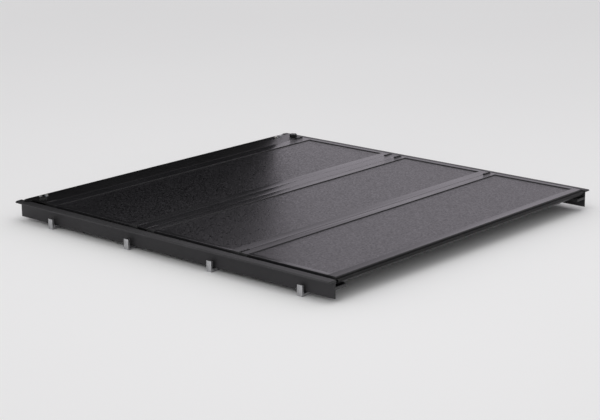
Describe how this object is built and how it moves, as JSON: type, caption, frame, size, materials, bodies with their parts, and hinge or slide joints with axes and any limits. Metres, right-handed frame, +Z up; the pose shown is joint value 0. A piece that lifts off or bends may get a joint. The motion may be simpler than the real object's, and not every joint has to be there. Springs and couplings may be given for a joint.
{
  "type": "tonneau cover",
  "caption": "Hard tri-fold pickup bed cover: framed textured panels that fold forward between clamp-on side rails, with slam latches and prop rods.",
  "frame": {"origin": "plan centre of the cover on the plane of the side rails' seats, mount bed_opening", "axes": "+X to the passenger side, +Y forward to the cab, +Z up"},
  "size_m": [1.66, 1.69, 0.103],
  "materials": {
    "frame_black": "satin",
    "rail_black": "satin",
    "skin_top": "matte",
    "skin_under": "matte",
    "core_foam": "matte",
    "seal_rubber": "matte",
    "moulded_black": "satin",
    "clamp_aluminium": "satin",
    "plated_steel": "satin",
    "cable_steel": "satin",
    "rod_black": "satin"
  },
  "bodies": {
    "rail_frame": {"left_rail": "rail_black", "right_rail": "rail_black", "rail_seals": "seal_rubber", "rail_end_caps": "moulded_black", "drain_spouts": "moulded_black", "clamp_frames": "clamp_aluminium", "clamp_screws": "plated_steel", "header_rail": "frame_black", "bulkhead_seal": "seal_rubber", "header_brackets": "plated_steel", "hold_down_knobs": "moulded_black", "header_hinge_pin": "plated_steel", "rod_posts": "moulded_black"},
    "front_panel": {"front_top_skin": "skin_top", "front_core": "core_foam", "front_bottom_skin": "skin_under", "front_hinge_frame": "frame_black", "front_link_frame": "frame_black", "front_side_frames": "frame_black", "front_corner_caps": "moulded_black", "link_front_pin": "plated_steel", "front_latch_housings": "moulded_black", "front_release_cable": "cable_steel", "front_cable_guides": "moulded_black", "front_left_spring": "plated_steel", "front_right_spring": "plated_steel", "rod_brackets": "rod_black", "rod_pivots": "plated_steel", "rod_clips": "moulded_black"},
    "left_rod": {"left_prop_rod": "rod_black"},
    "right_rod": {"right_prop_rod": "rod_black"},
    "front_left_slider": {"front_left_bolt": "plated_steel"},
    "front_right_slider": {"front_right_bolt": "plated_steel"},
    "fold_link": {"link_strip": "frame_black", "link_seal": "seal_rubber"},
    "middle_panel": {"middle_top_skin": "skin_top", "middle_core": "core_foam", "middle_bottom_skin": "skin_under", "middle_link_frame": "frame_black", "middle_hinge_frame": "frame_black", "middle_side_frames": "frame_black", "middle_corner_caps": "moulded_black", "link_rear_pin": "plated_steel", "rear_hinge_pin": "plated_steel", "rear_hinge_seal": "seal_rubber"},
    "rear_panel": {"rear_top_skin": "skin_top", "rear_core": "core_foam", "rear_bottom_skin": "skin_under", "rear_hinge_frame": "frame_black", "rear_tail_frame": "frame_black", "rear_side_frames": "frame_black", "rear_corner_caps": "moulded_black", "tail_seal": "seal_rubber", "rear_latch_housings": "moulded_black", "rear_release_cable": "cable_steel", "rear_cable_guides": "moulded_black", "rear_left_spring": "plated_steel", "rear_right_spring": "plated_steel"},
    "rear_left_slider": {"rear_left_bolt": "plated_steel"},
    "rear_right_slider": {"rear_right_bolt": "plated_steel"}
  },
  "joints": [
    {"name": "front_fold", "type": "hinge", "parent": "rail_frame", "child": "front_panel", "pos_m": [0, 0.705, 0.015], "axis": [-1, 0, 0], "range_deg": [0, 90]},
    {"name": "link_front_fold", "type": "hinge", "parent": "front_panel", "child": "fold_link", "pos_m": [0, 0.167, 0.015], "axis": [-1, 0, 0], "range_deg": [0, 90]},
    {"name": "link_rear_fold", "type": "hinge", "parent": "fold_link", "child": "middle_panel", "pos_m": [0, 0.112, 0.015], "axis": [-1, 0, 0], "range_deg": [0, 90]},
    {"name": "rear_fold", "type": "hinge", "parent": "middle_panel", "child": "rear_panel", "pos_m": [0, -0.376, 0.015], "axis": [-1, 0, 0], "range_deg": [0, 180]},
    {"name": "left_rod_swing", "type": "hinge", "parent": "front_panel", "child": "left_rod", "pos_m": [-0.7, 0.605, -0.0075], "axis": [1, 0, 0], "range_deg": [0, 113.79]},
    {"name": "right_rod_swing", "type": "hinge", "parent": "front_panel", "child": "right_rod", "pos_m": [0.7, 0.605, -0.0075], "axis": [1, 0, 0], "range_deg": [0, 113.79]},
    {"name": "front_left_latch", "type": "slide", "parent": "front_panel", "child": "front_left_slider", "axis": [-1, 0, 0], "range_m": [0, 0.012], "stiffness_N_per_m": 120, "springref_m": 0.018, "deforming": ["front_left_spring"]},
    {"name": "front_right_latch", "type": "slide", "parent": "front_panel", "child": "front_right_slider", "axis": [1, 0, 0], "range_m": [0, 0.012], "stiffness_N_per_m": 120, "springref_m": 0.018, "deforming": ["front_right_spring"]},
    {"name": "rear_left_latch", "type": "slide", "parent": "rear_panel", "child": "rear_left_slider", "axis": [-1, 0, 0], "range_m": [0, 0.012], "stiffness_N_per_m": 120, "springref_m": 0.018, "deforming": ["rear_left_spring"]},
    {"name": "rear_right_latch", "type": "slide", "parent": "rear_panel", "child": "rear_right_slider", "axis": [1, 0, 0], "range_m": [0, 0.012], "stiffness_N_per_m": 120, "springref_m": 0.018, "deforming": ["rear_right_spring"]}
  ],
  "couplings": [
    {"joint": "front_right_latch", "follows": "front_left_latch", "ratio": 1},
    {"joint": "rear_right_latch", "follows": "rear_left_latch", "ratio": 1}
  ]
}
